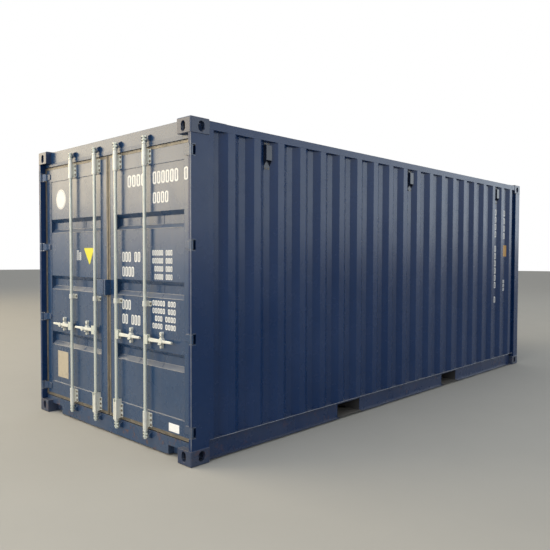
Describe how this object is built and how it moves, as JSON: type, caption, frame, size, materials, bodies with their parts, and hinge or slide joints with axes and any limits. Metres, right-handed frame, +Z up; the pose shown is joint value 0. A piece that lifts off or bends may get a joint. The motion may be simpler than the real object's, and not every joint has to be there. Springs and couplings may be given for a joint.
{
  "type": "freight container",
  "caption": "Steel dry freight container with corrugated walls, corner fittings, fork pockets and hinged rear doors closed by lock bars.",
  "frame": {"origin": "on the ground under the middle of the container, at the level of the corner fittings' base faces", "axes": "+X along the length from the doors to the front wall, +Y to the left as seen when facing the doors from outside, +Z up"},
  "size_m": [6.058, 2.438, 2.591],
  "materials": {
    "blue_paint": "satin",
    "galvanised_steel": "dull galvanised",
    "gasket_rubber": "matt",
    "black_underbody": "matt",
    "floor_timber": "oiled plywood"
  },
  "bodies": {
    "container": {"bottom_corner_fittings": "blue_paint", "top_corner_fittings": "blue_paint", "rear_posts": "blue_paint", "front_posts": "blue_paint", "hinge_lugs": "blue_paint", "hinge_pins": "galvanised_steel", "bottom_side_rails": "blue_paint", "bottom_rail_webs": "blue_paint", "top_side_rails": "blue_paint", "rear_sill": "blue_paint", "rear_header": "blue_paint", "upper_cam_keepers": "blue_paint", "lower_cam_keepers": "blue_paint", "front_sill": "blue_paint", "front_header": "blue_paint", "front_wall": "blue_paint", "side_wall_left": "blue_paint", "side_wall_right": "blue_paint", "roof_panel": "blue_paint", "roof_corner_plates": "blue_paint", "crossmembers": "black_underbody", "fork_pocket_webs": "black_underbody", "fork_pocket_plates": "black_underbody", "floor_boards": "floor_timber", "floor_centre_rail": "black_underbody", "side_vents": "blue_paint"},
    "left_leaf": {"door_frame_left": "blue_paint", "door_panel_left": "blue_paint", "door_gasket_left": "gasket_rubber", "hinge_blades_left": "blue_paint", "bar_brackets_left": "galvanised_steel", "handle_catches_left": "galvanised_steel", "lock_box_left": "blue_paint"},
    "right_leaf": {"door_frame_right": "blue_paint", "door_panel_right": "blue_paint", "door_gasket_right": "gasket_rubber", "hinge_blades_right": "blue_paint", "bar_brackets_right": "galvanised_steel", "handle_catches_right": "galvanised_steel", "lock_box_right": "blue_paint"},
    "bar_left_outer": {"lock_bar_left_outer": "galvanised_steel"},
    "grip_left_outer": {"handle_left_outer": "galvanised_steel"},
    "bar_left_inner": {"lock_bar_left_inner": "galvanised_steel"},
    "grip_left_inner": {"handle_left_inner": "galvanised_steel"},
    "bar_right_outer": {"lock_bar_right_outer": "galvanised_steel"},
    "grip_right_outer": {"handle_right_outer": "galvanised_steel"},
    "bar_right_inner": {"lock_bar_right_inner": "galvanised_steel"},
    "grip_right_inner": {"handle_right_inner": "galvanised_steel"}
  },
  "joints": [
    {"name": "left_door", "type": "hinge", "parent": "container", "child": "left_leaf", "pos_m": [-3.011, 1.201, 1.3], "axis": [0, 0, -1], "range_deg": [0, 260]},
    {"name": "left_outer_bar_turn", "type": "hinge", "parent": "left_leaf", "child": "bar_left_outer", "pos_m": [-3.008, 0.602, 0.9], "axis": [0, 0, -1], "range_deg": [-100, 0]},
    {"name": "left_outer_handle_lift", "type": "hinge", "parent": "bar_left_outer", "child": "grip_left_outer", "pos_m": [-3.008, 0.642, 0.9], "axis": [1, 0, 0], "range_deg": [0, 22]},
    {"name": "left_inner_bar_turn", "type": "hinge", "parent": "left_leaf", "child": "bar_left_inner", "pos_m": [-3.008, 0.172, 0.9], "axis": [0, 0, -1], "range_deg": [-100, 0]},
    {"name": "left_inner_handle_lift", "type": "hinge", "parent": "bar_left_inner", "child": "grip_left_inner", "pos_m": [-3.008, 0.212, 0.9], "axis": [1, 0, 0], "range_deg": [0, 22]},
    {"name": "right_door", "type": "hinge", "parent": "container", "child": "right_leaf", "pos_m": [-3.011, -1.201, 1.3], "axis": [0, 0, 1], "range_deg": [0, 260]},
    {"name": "right_outer_bar_turn", "type": "hinge", "parent": "right_leaf", "child": "bar_right_outer", "pos_m": [-3.008, -0.602, 0.9], "axis": [0, 0, 1], "range_deg": [-100, 0]},
    {"name": "right_outer_handle_lift", "type": "hinge", "parent": "bar_right_outer", "child": "grip_right_outer", "pos_m": [-3.008, -0.642, 0.9], "axis": [-1, 0, 0], "range_deg": [0, 22]},
    {"name": "right_inner_bar_turn", "type": "hinge", "parent": "right_leaf", "child": "bar_right_inner", "pos_m": [-3.008, -0.172, 0.9], "axis": [0, 0, 1], "range_deg": [-100, 0]},
    {"name": "right_inner_handle_lift", "type": "hinge", "parent": "bar_right_inner", "child": "grip_right_inner", "pos_m": [-3.008, -0.212, 0.9], "axis": [-1, 0, 0], "range_deg": [0, 22]}
  ]
}
